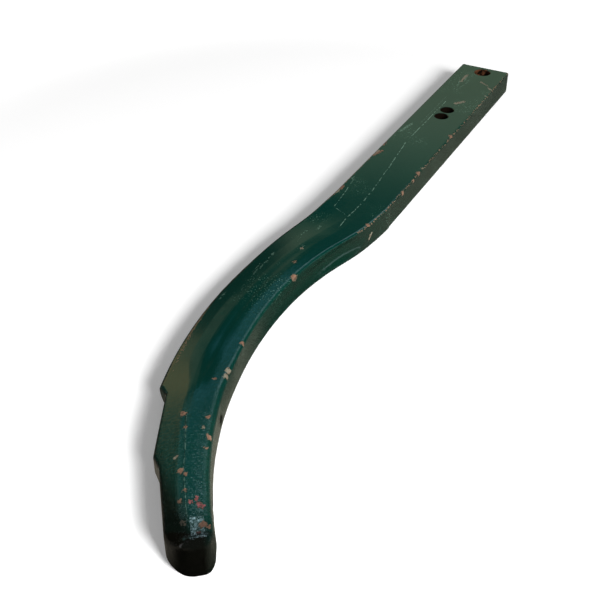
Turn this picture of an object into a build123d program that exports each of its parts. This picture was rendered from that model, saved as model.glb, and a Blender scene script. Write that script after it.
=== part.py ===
"""Cultivator tine: one forging, a flat bar drawn down into a forward-curved foot that carries a bolt-on share.

The tine lies on its side. X runs along the bar from the pivot hole to the tip, Y points to the front of the
tine, which is the hollow side of its curve, and Z is up. The origin is the centre of the pivot hole, on the
mid plane of the bar. Lengths are in millimetres and angles in degrees. An angle along the curve is the
direction of its front edge at that place, measured from the bar.
"""

import os
from dataclasses import asdict, dataclass
from math import cos, radians, sin

from build123d import *

# The bar
bar_depth = 70.0  # front to rear, the wide side of the flat bar
bar_thickness = 30.0
bar_edge_round = 2.5
bar_end_break = 0.8
bar_front = 33.5  # the front edge of the bar, ahead of the line of its holes
bar_end_to_pivot = 17.0
pivot_to_neck = 398.0  # from the pivot hole to where the bar leaves its straight line

# The holes in the bar
pivot_hole_diameter = 22.0
shear_hole_diameter = 17.5
pivot_to_shear_hole = 138.5
shear_hole_spacing = 21.0
bar_hole_break = 0.8

# The front edge in plan: back through the neck, then forward to the tip
kick_angle = 16.5
kick_radius = 330.0
neck_radius = 358.0
curve_radius = 478.0
tip_angle = 40.1
spare_angle = 3.0  # forged past the tip, then cut back to it

# The section of the curve
curve_depth = 64.0
curve_half_thickness = 16.5
curve_flat = 25.0  # the flat of each side, from the front edge to the crown
curve_strip = 14.0  # the first slope of the crown
curve_strip_drop = 2.5
curve_front_crown = 0.8  # how far the front face bows out at its middle
curve_front_round = 3.5
curve_crown_round = 6.0
neck_run_in = 12.0  # the bar keeps its section for this far into the neck

# The section of the foot
foot_angle = 21.0
foot_run_in = 60.0  # the curve changes into the foot over this length
foot_half_thickness = 19.5
foot_flat_top = 24.0
foot_flat_tip = 19.0
foot_strip = 7.0
foot_strip_drop = 1.2
foot_front_crown = 2.2
foot_front_round = 5.5
foot_crown_round = 1.2
foot_depth_tip = 48.0

# The rear of the curve and the foot
rear_half_thickness = 8.0
rear_bow = 3.5  # how far the rear bows out at its middle
rear_round = 3.5

# The way the sections are laid out, and how far the cuts start clear of the forging
clear = 2.5
clear_angle = 9.0
nearly_upright = 0.999
middle_round = 3.0  # eases the bow of the front and rear faces at the mid plane
station_spacing = 25.0

# The hollow along the front of the neck and curve
flute_radius = 16.0
flute_depth = 5.0
flute_middle_depth = 2.5
flute_start = 60.0  # along the front edge, from the start of the neck
flute_end = 250.0
flute_run_in = 18.0
flute_rise = 1.2  # how far the far end of the cut lifts out
flute_edge_round = 2.0

# The two steps and seats at the rear of the foot, where the nuts of the share bolts sit
upper_step_angle = 18.3
upper_step_run = 2.2
upper_seat_depth = 52.5
upper_seat_end_depth = 50.0
lower_step_angle = 28.6
lower_step_run = 1.5
lower_seat_depth = 44.0
lower_seat_end_depth = 39.5
seat_corner_round = 6.0

# The share bolts
share_hole_diameter = 11.0
upper_hole_angle = 22.4
lower_hole_angle = 34.2

# The tip
tip_rear_round = 20.0
tip_front_cut_depth = 7.0
tip_front_cut_angle = 2.1
tip_front_round = 8.0
tip_slope = 5.5  # the worn slope along the upper edge of the end, seen square to the end
foot_edge_round = 4.0  # every edge that the steps, seats and tip leave

# The front edge as one line, and lengths along it
with BuildLine() as front_edge:
    kick = JernArc((pivot_to_neck, bar_front), (1, 0), kick_radius, -kick_angle)
    neck = JernArc(kick @ 1, kick % 1, neck_radius, kick_angle)
    curve = JernArc(neck @ 1, neck % 1, curve_radius, tip_angle + spare_angle)

front_wire = front_edge.wire()
neck_length = (kick_radius + neck_radius) * radians(kick_angle)
foot_start = neck_length + curve_radius * radians(foot_angle)


def plan_point(angle, depth):
    """A point in plan, at a depth behind the front edge of the curve."""
    reach = curve_radius + depth
    return curve.arc_center + Vector(reach * sin(radians(angle)), -reach * cos(radians(angle)))


def section_plane(length):
    """The plane across the tine at a length along its front edge, its x axis to the rear."""
    place = front_wire.position_at(length, position_mode=PositionMode.LENGTH)
    along = front_wire.tangent_at(length, position_mode=PositionMode.LENGTH)
    return Plane(origin=place, x_dir=along.rotate(Axis.Z, -90), z_dir=along)


def ahead_of_front(length, distance):
    """A point in plan, so far in front of the front edge."""
    return section_plane(length).from_local_coords((-distance, 0, 0))


@dataclass
class Form:
    """The shape of one cross-section: depths from the front edge, heights from the mid plane."""

    depth: float
    half: float
    flat: float
    strip: float
    strip_drop: float
    front_crown: float
    front_round: float
    crown_round: float
    rear_half: float
    rear_bow: float
    rear_round: float


bar_form = Form(
    depth=bar_depth,
    half=bar_thickness / 2,
    flat=curve_flat,
    strip=curve_strip,
    strip_drop=0.0,
    front_crown=0.0,
    front_round=bar_edge_round,
    crown_round=curve_crown_round,
    rear_half=bar_thickness / 2,
    rear_bow=0.0,
    rear_round=bar_edge_round,
)
curve_form = Form(
    depth=curve_depth,
    half=curve_half_thickness,
    flat=curve_flat,
    strip=curve_strip,
    strip_drop=curve_strip_drop,
    front_crown=curve_front_crown,
    front_round=curve_front_round,
    crown_round=curve_crown_round,
    rear_half=rear_half_thickness,
    rear_bow=rear_bow,
    rear_round=rear_round,
)
foot_form = Form(
    depth=curve_depth,
    half=foot_half_thickness,
    flat=foot_flat_top,
    strip=foot_strip,
    strip_drop=foot_strip_drop,
    front_crown=foot_front_crown,
    front_round=foot_front_round,
    crown_round=foot_crown_round,
    rear_half=rear_half_thickness,
    rear_bow=rear_bow,
    rear_round=rear_round,
)
tip_form = Form(**asdict(foot_form) | {"flat": foot_flat_tip, "depth": foot_depth_tip})


def mixed(start, end, share):
    """A form part way between two, eased at both ends."""
    share = min(max(share, 0.0), 1.0)
    eased = share * share * (3 - 2 * share)
    first, last = asdict(start), asdict(end)
    return Form(**{name: first[name] + (last[name] - first[name]) * eased for name in first})


def form_at(length):
    """The form of the forging at a length along its front edge."""
    if length < neck_length:
        return mixed(bar_form, curve_form, (length - neck_run_in) / (neck_length - neck_run_in))
    if length < foot_start:
        return mixed(curve_form, foot_form, 1 - (foot_start - length) / foot_run_in)
    return mixed(foot_form, tip_form, (length - foot_start) / (front_wire.length - foot_start))


def rounded_outline(corners):
    """A closed outline through corners of (x, y, round), each eased by a curve of that size."""
    for i, (x, y, size) in enumerate(corners):
        corner = Vector(x, y)
        before = Vector(*corners[i - 1][:2])
        after_x, after_y, after_size = corners[(i + 1) % len(corners)]
        after = Vector(after_x, after_y)
        ahead = (after - corner).normalized()
        curve_start = corner + (before - corner).normalized() * size
        curve_end = corner + ahead * size
        Bezier(curve_start, corner, curve_end)
        Line(curve_end, after - ahead * after_size)


def tine_section(length):
    """The cross-section at a length along the front edge, the same above and below its mid plane."""
    form = form_at(length)
    front_middle = (0.0, 0.0, middle_round)
    rear_middle = (form.depth, 0.0, middle_round)
    side = [
        (form.front_crown, form.half, form.front_round),
        (form.flat, form.half, form.crown_round),
        (form.flat + form.strip, form.half - form.strip_drop, form.crown_round),
        (form.depth - form.rear_bow, form.rear_half, form.rear_round),
    ]
    other_side = [(x, -y, size) for x, y, size in reversed(side)]
    with BuildSketch(section_plane(length)) as section:
        with BuildLine():
            rounded_outline([front_middle] + side + [rear_middle] + other_side)
        make_face()
    return section.sketch


# The corners of the outline that the steps, seats and tip are cut to, and three points clear of the forging
upper_step_top = plan_point(upper_step_angle, curve_depth + clear)
upper_step_foot = plan_point(upper_step_angle + upper_step_run, upper_seat_depth)
lower_step_top = plan_point(lower_step_angle, upper_seat_end_depth)
lower_step_foot = plan_point(lower_step_angle + lower_step_run, lower_seat_depth)
tip_rear = plan_point(tip_angle, lower_seat_end_depth)
tip_front = plan_point(tip_angle, tip_front_cut_depth)
tip_side = plan_point(tip_angle - tip_front_cut_angle, -clear)
clear_of_front = plan_point(tip_angle + clear_angle, -curve_depth)
clear_of_tip = plan_point(tip_angle + clear_angle, 2 * curve_depth)
clear_of_rear = plan_point(upper_step_angle, 2 * curve_depth)

# The plane across the end of the tip, its x axis out of the end and its y axis down
end_across = (tip_front - tip_rear).normalized()
end_plane = Plane(origin=tip_rear - end_across * curve_depth, x_dir=end_across.rotate(Axis.Z, -90), z_dir=end_across)


def runs_side_to_side(edge):
    """Whether an edge crosses the thickness of the foot."""
    return abs((edge % 0.5).Z) > nearly_upright and edge.length > foot_half_thickness


def bolt_plane(angle, seat_start, seat_end):
    """The plane of a share bolt, square to its seat and centred on the front face."""
    seat = (seat_end - seat_start).normalized()
    return Plane(origin=plan_point(angle, 0), x_dir=(0, 0, 1), z_dir=seat.rotate(Axis.Z, 90))


upper_bolt = bolt_plane(upper_hole_angle, upper_step_foot, lower_step_top)
lower_bolt = bolt_plane(lower_hole_angle, lower_step_foot, tip_rear)

with BuildPart() as tine:
    # the bar
    with BuildSketch(Plane.YZ.offset(-bar_end_to_pivot)):
        with Locations((bar_front - bar_depth / 2, 0)):
            RectangleRounded(bar_depth, bar_thickness, bar_edge_round)
    extrude(amount=bar_end_to_pivot + pivot_to_neck)
    fillet(faces().sort_by(Axis.X)[0].edges(), bar_end_break)

    # the neck, the curve and the foot, drawn down through their sections
    spans = round(front_wire.length / station_spacing)
    loft([tine_section(front_wire.length * i / spans).face() for i in range(spans + 1)])

    # the steps and seats at the rear, and the end of the tip with its worn slope
    with BuildPart(mode=Mode.PRIVATE) as waste:
        with BuildSketch() as cut_back:
            with BuildLine():
                Polyline(
                    upper_step_top,
                    upper_step_foot,
                    lower_step_top,
                    lower_step_foot,
                    tip_rear,
                    tip_front,
                    tip_side,
                    clear_of_front,
                    clear_of_tip,
                    clear_of_rear,
                    close=True,
                )
            make_face()
            for corner in (upper_step_foot, lower_step_top, lower_step_foot):
                fillet(cut_back.vertices().sort_by_distance(corner)[0], seat_corner_round)
            fillet(cut_back.vertices().sort_by_distance(tip_rear)[0], tip_rear_round)
            fillet(cut_back.vertices().sort_by_distance(tip_front)[0], tip_front_round)
        extrude(amount=bar_thickness, both=True)
        with BuildSketch(end_plane):
            Polygon(
                (-tip_slope - clear, -foot_half_thickness - clear),
                (clear, -foot_half_thickness - clear),
                (clear, tip_slope + clear - foot_half_thickness),
                align=None,
            )
        extrude(amount=3 * curve_depth)
    add(waste.part, mode=Mode.SUBTRACT)
    fillet(edges(Select.LAST).filter_by(runs_side_to_side, reverse=True), foot_edge_round)

    # the hollow along the front
    with BuildLine() as flute_path:
        flute_line = Spline(
            ahead_of_front(flute_start - flute_run_in, flute_radius + flute_depth),
            ahead_of_front(flute_start, flute_radius),
            ahead_of_front(flute_start + flute_run_in, flute_radius - flute_depth),
            ahead_of_front((flute_start + flute_end) / 2, flute_radius - flute_middle_depth),
            ahead_of_front(flute_end, flute_radius),
            ahead_of_front(flute_end + flute_run_in, flute_radius + flute_rise),
        )
    with BuildSketch(Plane(origin=flute_line @ 0, z_dir=flute_line % 0)):
        Circle(flute_radius)
    sweep(path=flute_path.wire(), mode=Mode.SUBTRACT)
    fillet(edges(Select.LAST), flute_edge_round)

    # the pivot hole and the two shear bolt holes
    with Locations((0, 0)):
        Hole(pivot_hole_diameter / 2)
    chamfer(edges(Select.LAST).filter_by(GeomType.CIRCLE), bar_hole_break)
    with Locations((pivot_to_shear_hole, 0), (pivot_to_shear_hole + shear_hole_spacing, 0)):
        Hole(shear_hole_diameter / 2)
    chamfer(edges(Select.LAST).filter_by(GeomType.CIRCLE), bar_hole_break)

    # the share bolt holes, from the front face to the seats
    with Locations(upper_bolt, lower_bolt):
        Hole(share_hole_diameter / 2)

tine.part.label = "tine"
os.makedirs("parts", exist_ok=True)
export_step(tine.part, "parts/tine.step")
print("tine volume", round(tine.part.volume), "cubic millimetres")
print("upper share bolt at", upper_bolt.origin, "towards", upper_bolt.z_dir)
print("lower share bolt at", lower_bolt.origin, "towards", lower_bolt.z_dir)
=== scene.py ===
# %% [markdown]
# # Cultivator tine in worn green paint
# The real object is one heavy forging that lies on its side. All of its shape comes from the CAD part, so
# this lesson is about its surface: glossy dark green paint that has been scratched, chipped to rust and
# dulled by dust, over hammered steel. The first cell loads the part.

from math import cos, radians, sin

import bpy
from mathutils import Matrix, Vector

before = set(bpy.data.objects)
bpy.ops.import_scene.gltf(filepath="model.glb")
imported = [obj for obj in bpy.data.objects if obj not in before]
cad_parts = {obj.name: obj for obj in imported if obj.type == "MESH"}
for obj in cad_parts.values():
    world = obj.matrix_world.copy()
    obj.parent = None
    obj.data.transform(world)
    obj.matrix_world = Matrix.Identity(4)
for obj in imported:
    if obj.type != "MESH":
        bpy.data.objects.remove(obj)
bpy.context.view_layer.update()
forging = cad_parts["tine"]

# %% [markdown]
# ## Small helpers for nodes
# Materials here are made of many nodes, and each needs the same few steps: add it, fill its inputs, take an
# output. They could be drawn by hand in the shader editor, but then the wear couldn't be told in
# millimetres. So a few helpers hide those steps, and the later cells read as plain sums.


# %% Nodes and sums
def add_node(tree, kind, inputs=None, **settings):
    """Adds a node, sets its settings, and fills its inputs with values or with outputs of other nodes."""
    node = tree.nodes.new(kind)
    for name, value in settings.items():
        setattr(node, name, value)
    for name, value in (inputs or {}).items():
        if isinstance(value, bpy.types.NodeSocket):
            tree.links.new(value, node.inputs[name])
        else:
            node.inputs[name].default_value = value
    return node


def calculate(tree, operation, *values, clamp=False):
    """The result of a sum with one, two or three values."""
    inputs = {i: value for i, value in enumerate(values)}
    return add_node(tree, "ShaderNodeMath", inputs, operation=operation, use_clamp=clamp).outputs[0]


def times(tree, first, second):
    """One value times another. Of two masks, this is where both are."""
    return calculate(tree, "MULTIPLY", first, second)


def times_plus(tree, value, factor, more):
    """A value times a factor, plus something more."""
    return calculate(tree, "MULTIPLY_ADD", value, factor, more)


def larger(tree, first, second):
    """The larger of two values. Of two masks, this is where either is."""
    return calculate(tree, "MAXIMUM", first, second)


def vector_math(tree, operation, first, second, output="Vector"):
    """The result of a sum with two vectors."""
    node = add_node(tree, "ShaderNodeVectorMath", {0: first, 1: second}, operation=operation)
    return node.outputs[output]


def fade(tree, value, start, end):
    """0 before start, 1 past end, with a smooth step between. The end may be the smaller one."""
    low, high, first = (start, end, 0.0) if start < end else (end, start, 1.0)
    inputs = {"Value": value, "From Min": low, "From Max": high, "To Min": first, "To Max": 1.0 - first}
    return add_node(tree, "ShaderNodeMapRange", inputs, interpolation_type="SMOOTHSTEP").outputs["Result"]


def stretch(tree, value, **limits):
    """A value from one range drawn straight onto another, such as To_Max=2 for a range that ends at 2."""
    inputs = {"Value": value, **{name.replace("_", " "): limit for name, limit in limits.items()}}
    return add_node(tree, "ShaderNodeMapRange", inputs).outputs["Result"]


print("helpers for sums are ready")

# %% [markdown]
# ## Colours, noise and groups
# Paint and rust are never one even colour, so two more helpers mix colours and make noise. The noise is
# laid out in metres, so its scale is how many grains lie on a metre. A node group is a sum with a name, as
# a function is in Python: it is built once, and then placed wherever it is needed.


# %% Colours, noise and groups
def mix_colour(tree, share, first, second):
    """A colour part way between two."""
    node = add_node(tree, "ShaderNodeMix", {"Factor": share}, data_type="RGBA")
    colours = [s for s in node.inputs if s.type == "RGBA"]
    for socket, value in zip(colours, (first, second)):
        if isinstance(value, bpy.types.NodeSocket):
            tree.links.new(value, socket)
        else:
            socket.default_value = (*value, 1.0)
    return [s for s in node.outputs if s.type == "RGBA"][0]


def noise(tree, place, scale, **settings):
    """Grey noise with this many grains to a metre."""
    inputs = {"Vector": place, "Scale": scale, **settings}
    return add_node(tree, "ShaderNodeTexNoise", inputs).outputs["Fac"]


def split(tree, vector):
    """The three numbers of a vector, each as an output."""
    node = add_node(tree, "ShaderNodeSeparateXYZ", {"Vector": vector})
    return node.outputs["X"], node.outputs["Y"], node.outputs["Z"]


def new_group(name, inputs, outputs):
    """An empty node group with these inputs and outputs, given as name: kind of value."""
    tree = bpy.data.node_groups.new(name, "ShaderNodeTree")
    for socket_name, kind in inputs.items():
        tree.interface.new_socket(socket_name, in_out="INPUT", socket_type="NodeSocket" + kind)
    for socket_name, kind in outputs.items():
        tree.interface.new_socket(socket_name, in_out="OUTPUT", socket_type="NodeSocket" + kind)
    entry = tree.nodes.new("NodeGroupInput")
    result = tree.nodes.new("NodeGroupOutput")
    return tree, entry, result


def use_group(tree, group, inputs):
    """Places a group in a material or in another group, and gives its only output."""
    node = tree.nodes.new("ShaderNodeGroup")
    node.node_tree = group
    for name, value in inputs.items():
        if isinstance(value, bpy.types.NodeSocket):
            tree.links.new(value, node.inputs[name])
        else:
            node.inputs[name].default_value = value
    return node.outputs[0]


print("helpers for colours and groups are ready")

# %% [markdown]
# ## The front edge of the tine
# The tine leaves its holder as a straight bar, kicks back, and then bends forward in a long curve to its
# tip. Seen from above, its front edge is a straight line and three arcs that run into each other. The
# lengths here are those of the CAD part, so that the wear lands where the shape is.

# %% Arcs of the front edge
bar_front = 0.0335
straight_length = 0.398
kick_angle = radians(16.5)
kick_radius = 0.330
neck_radius = 0.358
curve_radius = 0.478

kick_centre = Vector((straight_length, bar_front - kick_radius, 0))
kick_end = kick_centre + kick_radius * Vector((sin(kick_angle), cos(kick_angle), 0))
neck_centre = kick_end + neck_radius * Vector((sin(kick_angle), cos(kick_angle), 0))
neck_end = neck_centre - neck_radius * Vector((0, 1, 0))
curve_centre = neck_end + curve_radius * Vector((0, 1, 0))
neck_start_along = straight_length + kick_radius * kick_angle
curve_start_along = neck_start_along + neck_radius * kick_angle
print("the curve starts", round(curve_start_along, 3), "m along the front edge")

# %% [markdown]
# ## Finding a place on a bent bar
# Wear follows the bar as it bends: it is told by how far along the front edge a place is, how deep behind
# that edge, and how high. An unwrapped texture could follow the bend too, but would need a picture. This
# group turns a point in space into those three lengths, and everything later is laid out in them.


# %% Place on the tine
def place_on_arc(tree, point, centre, radius, start_along, hollow_side):
    """Along and depth for the stretch of the front edge that is this arc."""
    side = 1.0 if hollow_side else -1.0
    offset = vector_math(tree, "SUBTRACT", point, centre)
    offset_x, offset_y, _ = split(tree, offset)
    across = times(tree, offset_y, -side)
    angle = calculate(tree, "ARCTAN2", offset_x, across)
    reach = vector_math(tree, "LENGTH", offset, (0, 0, 0), "Value")
    depth = times_plus(tree, reach, side, -side * radius)
    return times_plus(tree, angle, radius, start_along), depth


def pick(tree, choose_second, first, second):
    """The second value where the choice is 1, else the first."""
    inputs = {"Factor": choose_second, "A": first, "B": second}
    return add_node(tree, "ShaderNodeMix", inputs, data_type="FLOAT").outputs[0]


place_group, entry, result = new_group("Place on the tine", {"Point": "Vector"}, {"Place": "Vector"})
point_x, point_y, point_z = split(place_group, entry.outputs["Point"])
flat_point = add_node(place_group, "ShaderNodeCombineXYZ", {"X": point_x, "Y": point_y}).outputs["Vector"]
along = point_x
depth = calculate(place_group, "SUBTRACT", bar_front, point_y)
kick_direction = (cos(kick_angle), -sin(kick_angle), 0)
from_kick_end = vector_math(place_group, "SUBTRACT", flat_point, kick_end)
past_kick = vector_math(place_group, "DOT_PRODUCT", from_kick_end, kick_direction, "Value")
in_kick = calculate(place_group, "GREATER_THAN", along, straight_length)
in_neck = calculate(place_group, "GREATER_THAN", past_kick, 0.0)
in_curve = calculate(place_group, "GREATER_THAN", point_x, neck_end.x)
for choice, centre, radius, start, hollow_side in (
    (in_kick, kick_centre, kick_radius, straight_length, False),
    (in_neck, neck_centre, neck_radius, curve_start_along, True),
    (in_curve, curve_centre, curve_radius, curve_start_along, True),
):
    arc_along, arc_depth = place_on_arc(place_group, flat_point, centre, radius, start, hollow_side)
    along = pick(place_group, choice, along, arc_along)
    depth = pick(place_group, choice, depth, arc_depth)
place = add_node(place_group, "ShaderNodeCombineXYZ", {"X": along, "Y": depth, "Z": point_z})
place_group.links.new(place.outputs["Vector"], result.inputs["Place"])
print("the place group has", len(place_group.nodes), "nodes")

# %% [markdown]
# ## Ragged edges
# Paint breaks off in a ragged line, never in a clean circle. The raggedness could be painted into each
# chip, but it is easier to shift the place itself by a fine noise first, in a group of its own. Every mark
# that is then measured from the shifted place comes out ragged by the same grain.

# %% Ragged place
ragged_group, entry, result = new_group(
    "Ragged place", {"Place": "Vector", "Shift": "Float", "Grain": "Float"}, {"Place": "Vector"}
)
grain = add_node(
    ragged_group,
    "ShaderNodeTexNoise",
    {"Vector": entry.outputs["Place"], "Scale": entry.outputs["Grain"], "Detail": 3.0, "Roughness": 0.6},
)
shift = vector_math(ragged_group, "SUBTRACT", grain.outputs["Color"], (0.5, 0.5, 0.5))
scaled = add_node(
    ragged_group, "ShaderNodeVectorMath", {0: shift, "Scale": entry.outputs["Shift"]}, operation="SCALE"
)
moved = vector_math(ragged_group, "ADD", entry.outputs["Place"], scaled.outputs["Vector"])
ragged_group.links.new(moved, result.inputs["Place"])
print("the ragged group has", len(ragged_group.nodes), "nodes")

# %% [markdown]
# ## Chips and scratches
# A chip is where a stone or a bolt knocked the paint off, and a scratch is a chip drawn out along a line.
# So both come from one group, which measures how near a place is to the line between two points. A chip is
# a line of no length. The edge says how much of the width the mark takes to fade out.

# %% Near a line
line_group, entry, result = new_group(
    "Near a line",
    {"Place": "Vector", "From": "Vector", "To": "Vector", "Width": "Float", "Edge": "Float"},
    {"Mask": "Float"},
)
smallest_span = 1e-9
reach = vector_math(line_group, "SUBTRACT", entry.outputs["Place"], entry.outputs["From"])
span = vector_math(line_group, "SUBTRACT", entry.outputs["To"], entry.outputs["From"])
covered = vector_math(line_group, "DOT_PRODUCT", reach, span, "Value")
whole = vector_math(line_group, "DOT_PRODUCT", span, span, "Value")
share = calculate(line_group, "DIVIDE", covered, larger(line_group, whole, smallest_span), clamp=True)
nearest = add_node(line_group, "ShaderNodeVectorMath", {0: span, "Scale": share}, operation="SCALE")
gap = vector_math(line_group, "DISTANCE", reach, nearest.outputs["Vector"], "Value")
room = calculate(line_group, "SUBTRACT", entry.outputs["Width"], gap)
edge = times(line_group, entry.outputs["Width"], entry.outputs["Edge"])
mask = calculate(line_group, "DIVIDE", room, edge, clamp=True)
line_group.links.new(mask, result.inputs["Mask"])


def marks(tree, place, lines, edge=0.25):
    """One mask for several marks, each given as (from, to, width) in metres along, deep and high."""
    total = None
    for start, end, width in lines:
        inputs = {"Place": place, "From": start, "To": end, "Width": width, "Edge": edge}
        mask = use_group(tree, line_group, inputs)
        total = mask if total is None else larger(tree, total, mask)
    return total


print("the line group has", len(line_group.nodes), "nodes")

# %% [markdown]
# ## Where the marks are
# Wear could be strewn at random, but then it wouldn't be this tine. So its marks are listed one by one, in
# millimetres: how far along, how deep behind the front edge, how high and how wide. Two small functions
# turn them into metres, and three heights say where the upper side is on the bar, the curve and the foot.


# %% Chip and scratch
mm = 0.001


def chip(along, depth, height, width):
    """A chip as a line of no length."""
    spot = Vector((along, depth, height)) * mm
    return spot, spot, width * mm


def scratch(start, end, width):
    """A scratch from one place to another."""
    return Vector(start) * mm, Vector(end) * mm, width * mm


bar_top = 15
curve_top = 16.5
foot_top = 19.5
print("the upper side is at", bar_top, curve_top, foot_top, "mm")

# %% [markdown]
# ## Chips to bare steel
# Chips gather on the front edge, which hits the stones, on the rear edge of the bar, and on the foot, which
# works in the soil. Most are a single spot, and those along the rear edge are drawn out.

# %% Chips to bare steel
bare_chips = [
    chip(207, 2, bar_top, 3.5),
    chip(315, 1, bar_top, 3.5),
    chip(333, 0, bar_top - 2, 2.5),
    chip(364, 0, bar_top - 3, 3.0),
    chip(449, 1, bar_top, 2.5),
    scratch((262, 69, bar_top), (270, 69, bar_top), 2.6),
    scratch((284, 63, bar_top), (300, 68, bar_top), 2.2),
    scratch((385, 68, bar_top), (392, 66, bar_top), 2.4),
    chip(410, 69, bar_top, 2.6),
    scratch((-16, 2, bar_top - 1), (-16, 2, 4), 1.4),
    chip(556, 15, curve_top, 2.4),
    chip(578, 0, curve_top - 1, 5.2),
    chip(695, 2, curve_top, 2.6),
    chip(750, 12, curve_top + 2, 2.0),
    chip(796, 30, foot_top, 3.2),
    chip(812, 25, foot_top, 1.8),
    chip(799, 8, foot_top, 2.6),
    chip(822, 4, foot_top, 3.2),
    chip(834, 6, foot_top, 1.6),
    chip(858, 25, foot_top, 3.0),
    chip(862, 21, foot_top, 2.0),
    chip(878, 21, foot_top, 1.8),
    chip(888, 25, foot_top, 2.6),
    chip(913, 9, foot_top, 3.4),
    chip(916, 5, foot_top, 2.4),
    chip(922, 22, foot_top, 2.0),
]
print(len(bare_chips), "chips to bare steel")

# %% [markdown]
# ## Pink and pale chips
# A few chips near the tip show pink primer, and others, most of them on the bar and the curve, a pale grey.
# They need lists of their own, because their colours differ, and because the pale ones aren't sunk in.

# %% Pink and pale chips
pink_chips = [
    scratch((891, 16, foot_top), (889, 18, foot_top), 1.4),
    scratch((886, 12, foot_top), (889, 12, foot_top), 1.4),
    scratch((893, 11, foot_top), (896, 8, foot_top), 1.6),
    chip(921, 13, foot_top, 2.0),
]
pale_chips = [
    scratch((18, 50, bar_top), (44, 50, bar_top), 1.8),
    scratch((104, 23, bar_top), (114, 31, bar_top), 2.4),
    scratch((32, 25, bar_top), (36, 18, bar_top), 1.5),
    scratch((36, 18, bar_top), (40, 11, bar_top), 1.1),
    scratch((46, 9, bar_top), (50, 4, bar_top), 1.8),
    chip(73, 3, bar_top, 1.8),
    scratch((395, 69, bar_top), (403, 68, bar_top), 2.6),
    scratch((285, 67, bar_top), (297, 68, bar_top), 1.6),
    scratch((443, 0, 1), (447, 0, -3), 1.7),
    chip(302, 2, bar_top, 1.8),
    chip(532, 25, curve_top, 2.0),
    chip(736, 3, curve_top + 1, 3.6),
    chip(744, 3, curve_top + 1, 3.0),
    chip(812, 10, foot_top, 1.8),
    chip(843, 30, foot_top - 1, 2.0),
    chip(909, 24, foot_top, 2.4),
]
print(len(pink_chips), "pink chips and", len(pale_chips), "pale ones")

# %% [markdown]
# ## Scratches and worn edges
# One long scratch runs down the bar, in pieces that turn a little, and a short one comes back to it. Worn
# edges are long marks too, and the two pale lines along the groove of the foot are a painted highlight.
# They start as plain lines here, and the paint breaks them up later.

# %% Scratches and worn edges
scratches = [
    scratch((113, 45, bar_top), (230, 46, bar_top), 0.7),
    scratch((249, 46, bar_top), (318, 38, bar_top), 0.7),
    scratch((318, 38, bar_top), (387, 32, bar_top), 0.6),
    scratch((387, 32, bar_top), (450, 29, bar_top), 0.7),
    scratch((450, 29, bar_top), (502, 16, curve_top), 0.6),
    scratch((364, 63, bar_top), (438, 54, bar_top), 0.6),
    scratch((438, 54, bar_top), (446, 34, bar_top), 0.5),
]
worn_edges = [
    scratch((-15, 0.3, bar_top), (470, 0.3, bar_top), 0.9),
    scratch((250, 70, bar_top), (425, 69, bar_top), 1.3),
    scratch((620, 62, 8), (905, 42, 8), 1.4),
]
# painted highlight: two pale lines just in front of the groove on the foot, where its edge catches the
# light
highlight_lines = [
    scratch((797, 27, foot_top), (830, 23, foot_top), 0.7),
    scratch((830, 23, foot_top), (907, 20.5, foot_top), 0.7),
]
print(len(scratches), "scratches,", len(worn_edges), "worn edges and", len(highlight_lines), "pale lines")

# %% [markdown]
# ## Streaks, the ridge and its groove
# Streaks are pale rubs on the upper side. The ridge and the groove run along the foot, between its flat and
# its bevel: they are measured as marks, and are used as heights. The last list holds the dark rings of
# painted shade around the two share bolt holes.

# %% Streaks, ridge and groove
streaks = [
    scratch((488, 40, bar_top), (496, 38, bar_top), 1.6),
    scratch((503, 46, bar_top), (512, 44, bar_top), 1.5),
    scratch((528, 26, curve_top), (536, 24, curve_top), 1.3),
    scratch((550, 47, curve_top - 4), (560, 45, curve_top - 4), 1.4),
    scratch((566, 43, curve_top - 4), (590, 42, curve_top - 4), 1.0),
    scratch((572, 47, curve_top - 4), (586, 46, curve_top - 4), 0.8),
    scratch((622, 55, curve_top - 6), (634, 54, curve_top - 6), 1.6),
    scratch((17, 50, bar_top), (38, 46, bar_top), 1.4),
    scratch((30, 42, bar_top), (48, 41, bar_top), 0.9),
    scratch((100, 50, bar_top), (190, 50, bar_top), 0.6),
    scratch((42, 52, bar_top), (60, 49, bar_top), 1.2),
    scratch((51, 42, bar_top), (67, 45, bar_top), 0.8),
    scratch((198, 60, bar_top), (224, 64, bar_top), 2.2),
    scratch((360, 66, bar_top), (366, 64, bar_top), 1.2),
]
ridge = [
    scratch((795, 33, foot_top), (830, 28, foot_top), 4.5),
    scratch((830, 28, foot_top), (905, 25, foot_top), 4.5),
]
groove = [
    scratch((795, 28, foot_top), (830, 24.2, foot_top), 1.0),
    scratch((830, 24.2, foot_top), (905, 21.7, foot_top), 1.0),
]
# painted shade: dark rings around the two share bolt holes
hole_shade = [chip(783, 0, 0, 7.5), chip(881, 0, 0, 7.0)]
print(len(streaks), "streaks, and", len(ridge), "pieces each of the ridge and the groove")

# %% [markdown]
# ## The hammered steel under the paint
# The foot was drawn out under a hammer, so its flat has a rippled skin, and the bar has the faint orange
# peel of thick sprayed paint. Both are far too fine to model, so they are bumps of noise. The ripples are
# stretched across the bar, because the hammer fell that way.

# %% Hammered skin
ripple_stretch = (1.7, 1.0, 1.0)
ripple_grain = 260.0
peel_grain = 420.0

skin_group, entry, result = new_group(
    "Hammered skin", {"Place": "Vector", "Ripple": "Float", "Peel": "Float"}, {"Height": "Float"}
)
ripple_place = vector_math(skin_group, "MULTIPLY", entry.outputs["Place"], ripple_stretch)
ripple = noise(skin_group, ripple_place, ripple_grain, Detail=3.0, Roughness=0.6, Distortion=0.4)
peel = noise(skin_group, entry.outputs["Place"], peel_grain, Detail=2.0)
skin_height = times(skin_group, ripple, entry.outputs["Ripple"])
skin_height = times_plus(skin_group, peel, entry.outputs["Peel"], skin_height)
skin_group.links.new(skin_height, result.inputs["Height"])
print("the skin group has", len(skin_group.nodes), "nodes")
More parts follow.
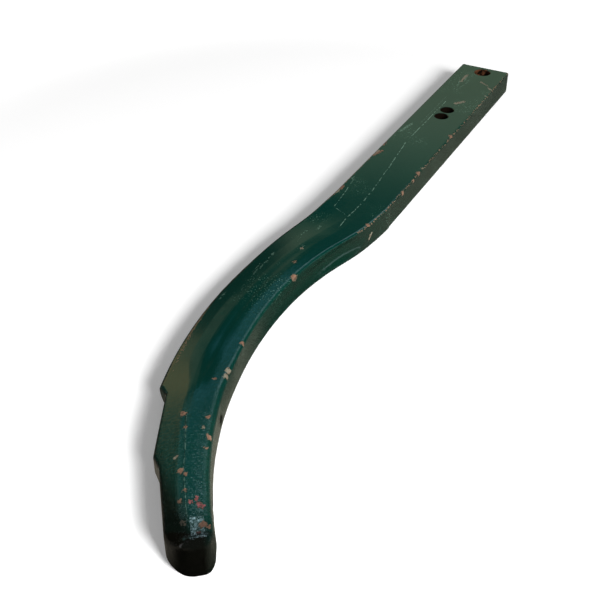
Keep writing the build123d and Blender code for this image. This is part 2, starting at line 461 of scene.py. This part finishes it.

# %% [markdown]
# ## The colours of the finish
# The paint is a deep bluish green with almost no red in it, duller in places. Where it is broken it shows
# pink primer, pale grey, tan and rust. Three colours here are painted shade: the darker green of the
# hollow, the dark of the hole walls, and in part the black at the tip. Each colour is written once here, as
# its share of red, green and blue light, so that it can be matched to the real one by changing a single
# line.

# %% Colours of the finish
deep_green = (0.000, 0.0225, 0.0170)
dull_green = (0.001, 0.0295, 0.0200)
# painted shade: the darker green of the shaded hollow along the front of the curve
hollow_shade_green = (0.000, 0.015, 0.009)
scratch_green = (0.110, 0.190, 0.150)
dust = (0.150, 0.150, 0.115)
face_dirt = (0.010, 0.016, 0.010)
bare_tan = (0.200, 0.110, 0.072)
primer_pink = (0.250, 0.070, 0.080)
pale_grey = (0.190, 0.175, 0.130)
pale_rim = (0.240, 0.200, 0.130)
rust_brown = (0.070, 0.030, 0.015)
bore_rust = (0.075, 0.030, 0.014)
# painted shade on the walls of the holes
bore_shade = (0.005, 0.003, 0.002)
# the black of the grease, which is also painted shade on the end of the tip and around the share bolt holes
black_of_grease_and_shade = (0.0014, 0.0014, 0.001)
print("the deepest green is", deep_green, "and the oily black is", black_of_grease_and_shade)

# %% [markdown]
# ## Starting the paint
# A material starts empty here, and gets its one shader at the very end. First come the places that all wear
# is measured from: the true one, a very ragged one for chips, and a softly wavy one for scratches, which a
# hand or a stone never draws quite straight.


# %% An empty material and its places
def new_material(name):
    """A material with nothing in it yet, and its node tree."""
    material = bpy.data.materials.new(name)
    material.use_nodes = True
    material.node_tree.nodes.clear()
    return material, material.node_tree


def finish_material(tree, shader):
    """Joins the last shader to the output of the material."""
    output = tree.nodes.new("ShaderNodeOutputMaterial")
    tree.links.new(shader.outputs[0], output.inputs["Surface"])


paint, tree = new_material("worn green paint")
coordinates = tree.nodes.new("ShaderNodeTexCoord").outputs["Object"]
place = use_group(tree, place_group, {"Point": coordinates})
ragged = use_group(tree, ragged_group, {"Place": place, "Shift": 8.5 * mm, "Grain": 480.0})
wavy = use_group(tree, ragged_group, {"Place": place, "Shift": 2.0 * mm, "Grain": 60.0})
along, depth, height = split(tree, place)
print("the paint starts with", len(tree.nodes), "nodes")

# %% [markdown]
# ## Two greens, dirt and dust
# The upper side is clean green with large dull clouds. The front faces are dirty, with pale dust on them at
# both ends. One noise makes the clouds, and depth and height find the front faces, because they are less
# than 16 mm deep and don't reach the upper side.

# %% Two greens, dirt and dust
face_depth = (16.0 * mm, 13.0 * mm)
face_height = (14.9 * mm, 12.5 * mm)

cloud_noise = noise(tree, place, 14.0, Detail=5.0, Roughness=0.6)
cloudy = fade(tree, cloud_noise, 0.38, 0.68)
colour = mix_colour(tree, times(tree, cloudy, 0.5), deep_green, dull_green)
tall = calculate(tree, "ABSOLUTE", height)
front_face = times(tree, fade(tree, depth, *face_depth), fade(tree, tall, *face_height))
colour = mix_colour(tree, times(tree, front_face, 0.65), colour, face_dirt)
far_dust = times(tree, fade(tree, along, 430 * mm, -50 * mm), 0.16)
near_dust = times(tree, fade(tree, along, 600 * mm, 780 * mm), 0.38)
dusty = times(tree, calculate(tree, "ADD", far_dust, near_dust), front_face)
dusty = times(tree, dusty, fade(tree, cloud_noise, 0.20, 0.60))
colour = mix_colour(tree, dusty, colour, dust)
print("with greens and dust it has", len(tree.nodes), "nodes")

# %% [markdown]
# ## Scratches and rubbed spots
# A scratch in this paint is a pale green line that comes and goes, because the stone that made it skipped.
# The line comes from the list of marks, and a coarse noise breaks it up. On the foot the high spots of the
# skin are rubbed a little pale as well.

# %% Scratches and rubbed spots
bare = marks(tree, ragged, bare_chips)
pink = marks(tree, ragged, pink_chips)
pale = marks(tree, ragged, pale_chips)
scratched = marks(tree, wavy, scratches)
skipped = fade(tree, noise(tree, place, 210.0), 0.42, 0.58)
scratched = times(tree, scratched, skipped)
colour = mix_colour(tree, times(tree, scratched, 0.8), colour, scratch_green)
rubbed_noise = noise(tree, place, 420.0, Detail=2.0)
rubbed = times(tree, fade(tree, rubbed_noise, 0.50, 0.66), fade(tree, along, 740 * mm, 800 * mm))
rubbed = times(tree, rubbed, fade(tree, cloud_noise, 0.30, 0.60))
colour = mix_colour(tree, times(tree, rubbed, 0.05), colour, scratch_green)
print("with scratches it has", len(tree.nodes), "nodes")

# %% [markdown]
# ## Worn lines, streaks and specks
# Long edges wear through in a broken line, and the upper side has short pale streaks and a scatter of
# specks. A blotchy noise eats into the lines and the streaks. The specks are only the peaks of a fine
# noise, and they gather where the clouds are, from the bar to the middle of the curve.

# %% Worn lines, streaks and specks
blotches = noise(tree, place, 340.0, Detail=3.0, Roughness=0.7)
blotchy = fade(tree, blotches, 0.40, 0.58)
worn_lines = times(tree, marks(tree, ragged, worn_edges), fade(tree, blotches, 0.41, 0.50))
# the pale lines on the foot are a painted highlight, broken up like the worn lines
pale_wear_and_highlight = times(tree, marks(tree, wavy, highlight_lines), fade(tree, blotches, 0.42, 0.66))
streaked = times(tree, marks(tree, ragged, streaks), fade(tree, blotches, 0.40, 0.55))
pale_wear_and_highlight = larger(tree, pale_wear_and_highlight, streaked)
speck_noise = noise(tree, place, 620.0, Detail=1.0)
speckled = times(tree, fade(tree, speck_noise, 0.63, 0.69), fade(tree, cloud_noise, 0.50, 0.62))
speckled = times(tree, speckled, fade(tree, along, 680 * mm, 600 * mm))
pale_wear_and_highlight = larger(tree, pale_wear_and_highlight, speckled)
colour = mix_colour(tree, times(tree, pale_wear_and_highlight, 0.6), colour, scratch_green)
print("with worn lines it has", len(tree.nodes), "nodes")

# %% [markdown]
# ## The inside of a chip
# A chip has a thin brown rim of rust that creeps under the paint, then a pale ring of thinned primer, and
# bare metal or primer in the middle, blotched with rust. Each is the same mask, taken at a different
# height, as rings are cut from a cone. The four kinds of mark differ only in the colour of the middle.

# %% Rims and middles of the chips
rust_share = 0.58
for mask, bare_colour in (
    (worn_lines, bare_tan),
    (bare, bare_tan),
    (pink, primer_pink),
    (pale, pale_grey),
):
    colour = mix_colour(tree, fade(tree, mask, 0.0, 0.30), colour, rust_brown)
    colour = mix_colour(tree, times(tree, fade(tree, mask, 0.20, 0.45), 0.6), colour, pale_rim)
    rusty = mix_colour(tree, blotchy, rust_brown, bare_colour)
    shown = mix_colour(tree, 1.0 - rust_share, rusty, bare_colour)
    colour = mix_colour(tree, fade(tree, mask, 0.35, 0.85), colour, shown)
print("with chips it has", len(tree.nodes), "nodes")

# %% [markdown]
# ## Rust and painted shade in the holes
# The walls of the holes are painted dark, as painted shade. Over it, the wall of the pivot hole has patches
# of brown rust, and the two bolt holes are only dark. A second material would need its own faces. It is
# simpler to colour what lies within each hole's radius, and the patches of rust fade out towards the
# bottom, into the painted shade.

# %% Rust and painted shade in the holes
pivot_radius = 11.0 * mm
bolt_radius = 8.75 * mm
hole_edge = (1.0 * mm, 0.3 * mm)

point_x, point_y, point_z = split(tree, coordinates)
flat_point = add_node(tree, "ShaderNodeCombineXYZ", {"X": point_x, "Y": point_y}).outputs["Vector"]
patches_of_rust = fade(tree, noise(tree, coordinates, 130.0, Detail=2.0), 0.42, 0.58)
rust_shown = times(tree, patches_of_rust, fade(tree, point_z, -4.0 * mm, 8.0 * mm))
for hole_x, hole_radius, wall_colour in (
    (0.0, pivot_radius, bore_rust),
    (138.5 * mm, bolt_radius, bore_shade),
    (159.5 * mm, bolt_radius, bore_shade),
):
    reach = vector_math(tree, "DISTANCE", flat_point, (hole_x, 0.0, 0.0), "Value")
    inside = fade(tree, reach, hole_radius + hole_edge[0], hole_radius + hole_edge[1])
    # each wall is painted shade, with patches of rust over the upper part of the pivot hole
    wall = mix_colour(tree, rust_shown, bore_shade, wall_colour)
    colour = mix_colour(tree, inside, colour, wall)
print("with the holes it has", len(tree.nodes), "nodes")

# %% [markdown]
# ## Grease and painted shade at the tip
# The end of the tip has worked in soil and oil and is nearly black: partly grease, and partly painted
# shade, because the end stands in shade. The black ends in a ragged line, which runs back further along the
# rear edge, and a thinner stain spreads beyond it. Both are fades along the tine. What lies behind the
# front band is added to the length, and that slants the line.

# %% Grease and painted shade at the tip
grease_slant = 0.5
stain_slant = 2.6

rear_lead = larger(tree, calculate(tree, "SUBTRACT", depth, 18.0 * mm), 0.0)
ragged_along, _, _ = split(tree, ragged)
grease_along = times_plus(tree, rear_lead, grease_slant, ragged_along)
# grease and painted shade: the nearly black end of the tip
grease_and_shade = fade(tree, grease_along, 915.5 * mm, 921.5 * mm)
stain_along = times_plus(tree, rear_lead, stain_slant, ragged_along)
stain = times(tree, fade(tree, stain_along, 885 * mm, 930 * mm), 0.9)
green_corner = times_plus(tree, fade(tree, depth, 12.0 * mm, 2.0 * mm), -0.20, 1.0)
grease_and_shade = times(tree, larger(tree, grease_and_shade, stain), green_corner)
# painted shade around the two share bolt holes joins the black of the tip
grease_and_shade = larger(tree, grease_and_shade, times(tree, marks(tree, ragged, hole_shade), 0.9))
print("with grease it has", len(tree.nodes), "nodes")

# %% [markdown]
# ## Painted shade in the hollow
# Along the front of the curve is a hollow, and the shade in it is painted: its paint turns a darker green,
# most of all low down, where the lower lip is in shade. A product of fades finds it: shallow, low, and only
# along the curve. The grease and the painted shade of the tip go on last, because they cover everything.

# %% Painted shade in the hollow
hollow_shade = times_plus(tree, fade(tree, height, -2.0 * mm, -8.0 * mm), 0.4, 0.6)
near_front = times(tree, fade(tree, depth, 14.0 * mm, 10.0 * mm), fade(tree, tall, 16.0 * mm, 13.0 * mm))
hollow_shade = times(tree, hollow_shade, near_front)
on_curve = times(tree, fade(tree, along, 455 * mm, 500 * mm), fade(tree, along, 680 * mm, 600 * mm))
hollow_shade = times(tree, hollow_shade, on_curve)
# painted shade in the hollow, darkest low down
colour = mix_colour(tree, times(tree, hollow_shade, 0.85), colour, hollow_shade_green)
# one black for the grease and the painted shade at the tip and around the share bolt holes
colour = mix_colour(tree, grease_and_shade, colour, black_of_grease_and_shade)
print("with the hollow it has", len(tree.nodes), "nodes")

# %% [markdown]
# ## Gloss
# The paint is thick gloss, so it is smooth, and what shows bare is rough. A clear coat over a matt paint
# could give the shine as well, but this paint shines by itself, and one low roughness says it. Near the
# tip, soil has dulled the top in spots.

# %% Gloss and dull spots
gloss_roughness = 0.13
bare_roughness = 0.75

chipped = larger(tree, bare, pink)
broken_paint = larger(tree, chipped, pale)
broken_paint = larger(tree, broken_paint, worn_lines)
dull_spots = times(tree, fade(tree, blotches, 0.48, 0.60), fade(tree, along, 870 * mm, 905 * mm))
dull_spots = times(tree, dull_spots, fade(tree, tall, 15.0 * mm, 18.0 * mm))
dull = larger(tree, broken_paint, times(tree, dull_spots, 0.35))
roughness = stretch(tree, dull, To_Min=gloss_roughness, To_Max=bare_roughness)
print("roughness runs from", gloss_roughness, "to", bare_roughness)

# %% [markdown]
# ## Height of the skin, the chips and the ridge
# Small heights are added up before they become one bump, in units of 0.6 mm. The hammered skin grows on the
# foot and along the front of the curve, a chip goes in by the thickness of the paint, and along the foot
# runs a low ridge with a groove beside it. Real geometry would only be needed if they showed in the
# outline.

# %% Skin, chips and ridge
bump_unit = 0.6 * mm
plain_ripple = 0.07
foot_ripple = 0.55
front_ripple = 0.38
peel_height = 0.05
paint_thickness = 0.5
ridge_height = 0.6
groove_depth = 1.0

on_foot = fade(tree, along, 745 * mm, 800 * mm)
front_band = times(tree, fade(tree, along, 540 * mm, 600 * mm), fade(tree, depth, 19.0 * mm, 10.0 * mm))
ripple_height = times_plus(tree, on_foot, foot_ripple, plain_ripple)
ripple_height = times_plus(tree, front_band, front_ripple, ripple_height)
skin = use_group(tree, skin_group, {"Place": place, "Ripple": ripple_height, "Peel": peel_height})
surface = times_plus(tree, chipped, -paint_thickness, skin)
surface = times_plus(tree, marks(tree, place, ridge, edge=1.0), ridge_height, surface)
surface = times_plus(tree, marks(tree, place, groove), -groove_depth, surface)
print("one unit of height is", bump_unit, "m")

# %% [markdown]
# ## Height of the tip and the shoulder
# Before its end the surface of the tip droops and rounds off, so it mirrors the roof. Along the curve the
# surface falls away behind the front band, and that is where the bright sheen ends. The bump only turns the
# light, and leaves the outline of the part as it is.

# %% Tip and shoulder
droop_depth = 6.0
crown_scale = 100.0
tip_middle_depth = 14.0 * mm
shoulder_depth = 1.5

droop_limits = {"From_Min": 905 * mm, "From_Max": 922 * mm, "To_Max": -droop_depth}
surface = calculate(tree, "ADD", surface, stretch(tree, along, **droop_limits))
off_middle = calculate(tree, "ABSOLUTE", calculate(tree, "SUBTRACT", depth, tip_middle_depth))
crown = calculate(tree, "POWER", times(tree, off_middle, crown_scale), 2.0)
crown = times(tree, crown, fade(tree, along, 895 * mm, 915 * mm))
surface = times_plus(tree, crown, -1.0, surface)
shoulder = fade(tree, depth, 12.0 * mm, 25.0 * mm)
shoulder = times(tree, shoulder, fade(tree, along, 500 * mm, 580 * mm))
shoulder = times(tree, shoulder, fade(tree, along, 800 * mm, 740 * mm))
surface = times_plus(tree, shoulder, -shoulder_depth, surface)
print("the droop at the tip is", round(droop_depth * bump_unit, 4), "m")

# %% [markdown]
# ## Putting the paint on
# The sums end in three sockets of one Principled shader: its colour, its roughness and, through the bump,
# its normal. The rest of the shader keeps its plain values, because the paint is not a metal and has no
# coat.

# %% Finished paint
bump = add_node(tree, "ShaderNodeBump", {"Height": surface, "Strength": 1.0, "Distance": bump_unit})
shader = add_node(
    tree,
    "ShaderNodeBsdfPrincipled",
    {"Base Color": colour, "Roughness": roughness, "Normal": bump.outputs["Normal"]},
)
finish_material(tree, shader)
forging.data.materials.clear()
forging.data.materials.append(paint)
print("the finished paint has", len(tree.nodes), "nodes")

# %% [markdown]
# ## Sheets for a studio
# The floor and all the cards that follow are sheets with a few faces. Planes could be added with an
# operator, but an operator depends on what is selected, and these few lines of mesh code don't. The last
# helper tells what is only looked at from what is lit, so that a white background doesn't flood the tine
# with light.


# %% Helpers for the studio
def square(half):
    """The four corners of a square around the middle, as x and y."""
    return ((-half, -half), (half, -half), (half, half), (-half, half))


def new_sheet(name, corners, faces, material):
    """A sheet of the studio with these corners and faces, added to the scene."""
    mesh = bpy.data.meshes.new(name)
    mesh.from_pydata(corners, [], faces)
    mesh.materials.append(material)
    sheet = bpy.data.objects.new(name, mesh)
    bpy.context.scene.collection.objects.link(sheet)
    return sheet


def seen_rays(tree):
    """1 for what the camera, gloss and glass see, and 0 for the light that falls on things."""
    rays = tree.nodes.new("ShaderNodeLightPath")
    seen = larger(tree, rays.outputs["Is Camera Ray"], rays.outputs["Is Glossy Ray"])
    return larger(tree, seen, rays.outputs["Is Transmission Ray"])


one_face = [(0, 1, 2, 3)]
middle = Vector((0.45, 0.0, 0.0))
white = (1.0, 1.0, 1.0, 1.0)
print("the studio is built around", tuple(middle))

# %% [markdown]
# ## The floor
# A pale floor keeps the soft shadow. The foot is a little thicker than the bar, so the tine touches the
# floor under its foot and under the far end of the bar, and the floor is tilted by that fraction of a
# degree. Some of its white is its own glow, which only the camera and reflections see, and the glow grows
# past the shadow.

# %% Floor
floor_white = (0.9, 0.9, 0.9, 1.0)
floor_half = 6
foot_bottom = -0.0199
bar_bottom = -0.015
foot_contact = 0.84
bar_contact = -0.017
tilt = (bar_bottom - foot_bottom) / (foot_contact - bar_contact)
glow_by_tine = 0.19
more_past_shadow = 0.80
shadow_reach = 0.53
all_white_from = 1.00


def floor_height(x):
    """Height of the floor under a place along the bar."""
    return bar_bottom - tilt * (x - bar_contact)


def floor_corners(half, lift=0.0):
    """The corners of a square that lies on the floor, or a little above it."""
    return [(x, y, floor_height(x) + lift) for x, y in square(half)]


floor_paint, tree = new_material("pale floor")
seen = seen_rays(tree)
matt = add_node(tree, "ShaderNodeBsdfDiffuse", {"Color": floor_white})
spot = tree.nodes.new("ShaderNodeTexCoord").outputs["Object"]
from_middle = vector_math(tree, "DISTANCE", spot, middle, "Value")
past_shadow = fade(tree, from_middle, shadow_reach, all_white_from)
glow_here = times_plus(tree, past_shadow, more_past_shadow, glow_by_tine)
glow = add_node(tree, "ShaderNodeEmission", {"Color": white, "Strength": times(tree, seen, glow_here)})
finish_material(tree, add_node(tree, "ShaderNodeAddShader", {0: matt.outputs[0], 1: glow.outputs[0]}))
floor = new_sheet("floor", floor_corners(floor_half), one_face, floor_paint)
print("the floor is tilted by", round(tilt, 5))

# %% [markdown]
# ## Lamp and room
# One large soft lamp stands to the right of the picture, so the shadow falls to the left. A white room
# fills in from all sides: it looks fully white, but lights the tine with only a fifth of that. The lamp
# itself doesn't show in the gloss, because a bare square of light there would look like a second object.

# %% Lamp and room
lamp_direction = Vector((0.462, 0.739, 0.490))
lamp_distance = 3.5
lamp_side = 1.0
lamp_power = 230.0
room_fill = 0.22

lamp_data = bpy.data.lights.new("soft lamp", "AREA")
lamp_data.shape = "RECTANGLE"
lamp_data.size = lamp_side
lamp_data.size_y = lamp_side
lamp_data.energy = lamp_power
lamp = bpy.data.objects.new("soft lamp", lamp_data)
lamp.location = middle + lamp_distance * lamp_direction
lamp.visible_glossy = False
lamp.rotation_euler = (middle - lamp.location).to_track_quat("-Z", "Y").to_euler()
bpy.context.scene.collection.objects.link(lamp)

world = bpy.data.worlds.new("white room")
bpy.context.scene.world = world
world.use_nodes = True
tree = world.node_tree
tree.nodes.clear()
strength = stretch(tree, seen_rays(tree), To_Min=room_fill, To_Max=1.0)
background = add_node(tree, "ShaderNodeBackground", {"Color": white, "Strength": strength})
output = tree.nodes.new("ShaderNodeOutputWorld")
tree.links.new(background.outputs[0], output.inputs["Surface"])
print("the lamp stands at", [round(c, 2) for c in lamp.location])

# %% [markdown]
# ## What the gloss mirrors
# Dark gloss paint shows little colour of its own: most of what is seen on it is the room that it mirrors.
# So cards stand and hang around the tine, as in a photographer's studio, and only reflections see them.
# They give no light. The helpers here hide a card from all but reflections, and colour it by where it is.


# %% Helpers for cards
def only_in_gloss(card):
    """Hides a card from the camera and keeps its light off the tine, so that only gloss shows it."""
    card.visible_camera = False
    card.visible_diffuse = False
    card.visible_shadow = False


def colour_steps(tree, value, steps):
    """A colour that changes with a value, from steps given as (value, colour), lowest first."""
    ramp = add_node(tree, "ShaderNodeValToRGB", {"Fac": value})
    elements = ramp.color_ramp.elements
    while len(elements) < len(steps):
        elements.new(0.5)
    for element, (position, colour) in zip(elements, steps):
        element.position = position
        element.color = (*colour, 1.0)
    return ramp.outputs["Color"]


print("helpers for cards are ready")

# %% [markdown]
# ## A bent screen behind the tine
# What the real gloss mirrors is pale ground, dark things above it, and a strip of sky. A picture of a room
# could be wrapped around the scene, but this lesson uses no pictures. A screen bent around the tine does
# the same, with bands of colour from its foot to its top.

# %% Bands of the screen
screen_height = 5.0
screen_bands = [
    (0.00, (0.25, 0.22, 0.16)),
    (0.11, (0.16, 0.15, 0.09)),
    (0.17, (0.39, 0.50, 0.31)),
    (0.22, (0.45, 0.55, 0.37)),
    (0.265, (0.22, 0.38, 0.24)),
    (0.295, (0.00, 0.03, 0.02)),
    (0.365, (0.00, 0.03, 0.02)),
    (0.40, (0.27, 0.84, 1.15)),
    (0.45, (0.26, 0.70, 0.92)),
    (0.54, (0.04, 0.115, 0.13)),
    (0.66, (0.012, 0.045, 0.045)),
    (0.80, (0.03, 0.07, 0.07)),
]
screen_paint, tree = new_material("screen colours")
spot = tree.nodes.new("ShaderNodeTexCoord").outputs["Object"]
forward, sideways, up = split(tree, spot)
level = stretch(tree, up, From_Max=screen_height)
shown = colour_steps(tree, level, screen_bands)
print("the screen has", len(screen_bands), "bands")

# %% [markdown]
# ## Patches on the screen
# Real surroundings aren't the same all the way round. Each patch here is one thing that the gloss shows in
# one direction, such as an olive wall, a window or a pale door. A patch has its left, right, lower and
# upper end, its colour, and how much it covers. Its edges are soft, because gloss that is a little worn
# blurs them.

# %% Patches on the screen
soft_side = 0.07
soft_level = 0.015
patches = {
    "half shade": (-1.96, -1.55, 0.11, 0.25, (0.22, 0.27, 0.18), 0.9),
    "dark above it": (-1.96, -1.50, 0.25, 0.345, (0.01, 0.035, 0.025), 0.9),
    "dark behind the curve": (-2.12, -1.62, -0.10, 0.220, (0.01, 0.03, 0.02), 0.95),
    "olive": (-2.35, -2.12, -0.10, 0.24, (0.66, 0.56, 0.26), 0.9),
    "light on the strip": (-2.55, -2.04, 0.39, 0.56, (0.50, 0.85, 0.75), 0.9),
    "shade by the tip": (-9.0, -2.42, -1.0, 0.34, (0.035, 0.055, 0.030), 0.90),
    "window": (-0.93, 1.5, 0.360, 0.54, (1.1, 1.7, 1.9), 1.0),
    "pale door": (2.05, 2.60, -0.10, 0.068, (5.5, 7.5, 7.5), 1.0),
}
for left, right, low, high, patch_colour, cover in patches.values():
    past_left = fade(tree, sideways, left - soft_side, left + soft_side)
    before_right = fade(tree, sideways, right + soft_side, right - soft_side)
    patch = times(tree, past_left, before_right)
    patch = times(tree, patch, fade(tree, level, low - soft_level, low + soft_level))
    patch = times(tree, patch, fade(tree, level, high + soft_level, high - soft_level))
    shown = mix_colour(tree, times(tree, patch, cover), shown, patch_colour)
print("patches on the screen:", ", ".join(patches))

# %% [markdown]
# ## Hanging the screen
# The screen dims towards the side of the lamp and is clouded by a noise, so that no band is flat. Beside
# the tip, at both its ends, it turns dark. It is bent through nearly three quarters of a circle, in short
# straight steps that are too small to see in the gloss.

# %% Studio screen
screen_radius = 2.5
first_angle = radians(70)
last_angle = radians(330)
screen_steps = 48
dark_end = (0.03, 0.03, 0.02)
dimming = 0.83

shown = mix_colour(tree, fade(tree, forward, 0.30, 0.60), shown, dark_end)
strength = times_plus(tree, fade(tree, sideways, 0.0, 0.8), -dimming, 1.0)
clouding = noise(tree, spot, 3.5, Detail=4.0, Roughness=0.65)
strength = times(tree, strength, times_plus(tree, clouding, 1.3, 0.35))
finish_material(tree, add_node(tree, "ShaderNodeEmission", {"Color": shown, "Strength": strength}))

corners, faces = [], []
for i in range(screen_steps + 1):
    angle = first_angle + (last_angle - first_angle) * i / screen_steps
    x, y = middle.x + screen_radius * cos(angle), screen_radius * sin(angle)
    corners += [(x, y, 0.0), (x, y, screen_height)]
    if i:
        faces.append((2 * i - 2, 2 * i, 2 * i + 1, 2 * i - 1))
screen = new_sheet("studio screen", corners, faces, screen_paint)
only_in_gloss(screen)
print("the screen has", len(faces), "steps")

# %% [markdown]
# ## A ground cloth
# The lower faces mirror the ground, which was darker and browner than the white of the picture. A cloth
# just above the floor shows them that ground, and it changes with the distance from the tip: nearly black
# under it, a light ring around it, and shade further off.

# %% Ground cloth
cloth_half = 3
cloth_lift = 0.4 * mm
tip_on_ground = (0.95, 0.14, -0.02)
# painted shadow: the cloth is nearly black under the tip, where the ground lies in its shadow
cloth_rings = [
    (0.06, (0.004, 0.004, 0.003)),
    (0.10, (0.19, 0.175, 0.14)),
    (0.18, (0.19, 0.175, 0.14)),
    (0.27, (0.06, 0.06, 0.045)),
    (0.36, (0.02, 0.03, 0.025)),
    (0.56, (0.14, 0.13, 0.10)),
    (0.72, (0.14, 0.13, 0.10)),
    (0.92, (0.05, 0.05, 0.04)),
]
cloth_paint, tree = new_material("brown grey cloth")
spot = tree.nodes.new("ShaderNodeTexCoord").outputs["Object"]
from_tip = vector_math(tree, "DISTANCE", spot, tip_on_ground, "Value")
cloth_colour = colour_steps(tree, from_tip, cloth_rings)
finish_material(tree, add_node(tree, "ShaderNodeEmission", {"Color": cloth_colour, "Strength": 1.0}))
cloth = new_sheet("ground cloth", floor_corners(cloth_half, cloth_lift), one_face, cloth_paint)
only_in_gloss(cloth)
print("the cloth has", len(cloth_rings), "rings")

# %% [markdown]
# ## A dark curtain and a dark ceiling
# Without something dark in front and overhead, the white room would shine in every face that the screen
# doesn't reach, and the deep green would turn grey. A curtain stands beyond the tip, turned towards it, and
# a ceiling of the same cloth closes the top.

# %% Dark curtain and ceiling
curtain_colour = (0.05, 0.07, 0.06, 1.0)
curtain_paint, tree = new_material("dark curtain cloth")
finish_material(tree, add_node(tree, "ShaderNodeEmission", {"Color": curtain_colour, "Strength": 1.0}))

curtain_corners = [(-3, 0, -0.2), (3, 0, -0.2), (3, 0, 4.5), (-3, 0, 4.5)]
curtain = new_sheet("dark curtain", curtain_corners, one_face, curtain_paint)
curtain.location = middle + Vector((2.2, 1.6, 0.0))
curtain.rotation_euler = (0.0, 0.0, radians(126))
only_in_gloss(curtain)

ceiling_corners = [(-3, -3, 5), (4, -3, 5), (4, 3, 5), (-3, 3, 5)]
ceiling = new_sheet("dark ceiling", ceiling_corners, one_face, curtain_paint)
only_in_gloss(ceiling)
print("the curtain stands at", [round(c, 2) for c in curtain.location])

# %% [markdown]
# ## A roof light
# The wet-looking highlight on the drooping tip is the sky through a small opening, straight above and a
# little behind. It is a small bright card that fades towards its edge, set just where the tip mirrors it.

# %% Roof light
roof_half = 0.36
roof_distance = 2.5
roof_direction = Vector((-0.26, -0.19, 0.94))
roof_strength = 20.0
sky_blue = (0.62, 0.90, 1.0, 1.0)
tip_top = Vector((0.89, 0.08, 0.02))

roof_paint, tree = new_material("roof light glow")
spot = tree.nodes.new("ShaderNodeTexCoord").outputs["Object"]
from_centre = vector_math(tree, "LENGTH", spot, (0, 0, 0), "Value")
strength = times(tree, fade(tree, from_centre, 0.34, 0.06), roof_strength)
finish_material(tree, add_node(tree, "ShaderNodeEmission", {"Color": sky_blue, "Strength": strength}))
roof_corners = [(x, y, 0) for x, y in square(roof_half)]
roof = new_sheet("roof light", roof_corners, one_face, roof_paint)
roof.location = tip_top + roof_distance * roof_direction
roof.rotation_euler = (tip_top - roof.location).to_track_quat("-Z", "Y").to_euler()
only_in_gloss(roof)
print("the roof light hangs at", [round(c, 2) for c in roof.location])

# %% [markdown]
# ## Camera
# The camera looks down along the tine from beyond its tip. Its place and lens come from the straight edges
# and the square end of the bar, whose vanishing lines fix them. The plain Standard view keeps colours as
# written.

# %% Camera
camera_data = bpy.data.cameras.new("camera")
camera_data.sensor_width = 36.0
camera_data.lens = 58.43
camera = bpy.data.objects.new("camera", camera_data)
camera.location = (1.2852, 0.3920, 0.5887)
view_direction = Vector((-0.7068, -0.3792, -0.5972))
camera.rotation_euler = view_direction.to_track_quat("-Z", "Y").to_euler()
bpy.context.scene.collection.objects.link(camera)
bpy.context.scene.camera = camera
bpy.context.scene.view_settings.view_transform = "Standard"
print("the camera's lens is", camera_data.lens, "mm")
